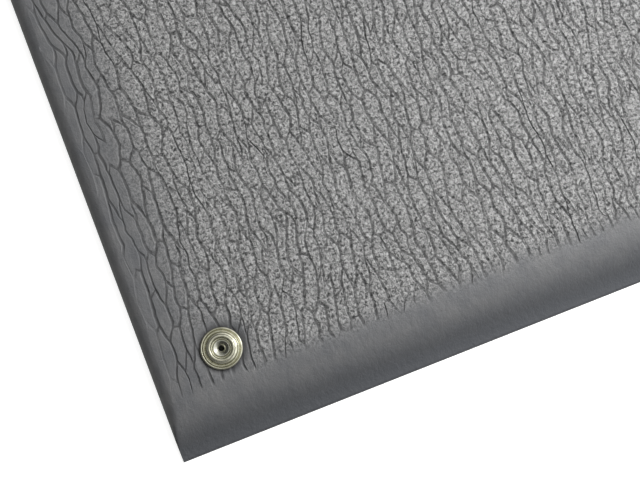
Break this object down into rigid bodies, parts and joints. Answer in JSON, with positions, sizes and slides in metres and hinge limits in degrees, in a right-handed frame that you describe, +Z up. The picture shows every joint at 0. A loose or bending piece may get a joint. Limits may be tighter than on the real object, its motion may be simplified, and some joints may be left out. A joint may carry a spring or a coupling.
{
  "type": "anti-static floor mat",
  "caption": "Dark grey foam floor mat with an embossed grain top, bevelled long edges, rolled ends and a press stud near a corner for a grounding cord.",
  "frame": {"origin": "centre of the mat's underside, on the floor", "axes": "+X along the bevelled long edges, +Y across the mat, away from the edge with the stud, +Z up"},
  "size_m": [0.9, 0.6, 0.0127],
  "materials": {
    "vinyl_foam": "embossed matte skin of dark grey static-dissipative vinyl foam",
    "stud_plating": "bright plated stamping, pale champagne",
    "eyelet_plating": "bright plated eyelet, pale champagne"
  },
  "bodies": {
    "root": {"mat": "vinyl_foam", "press_stud": "stud_plating", "eyelet_post": "eyelet_plating"}
  },
  "joints": []
}
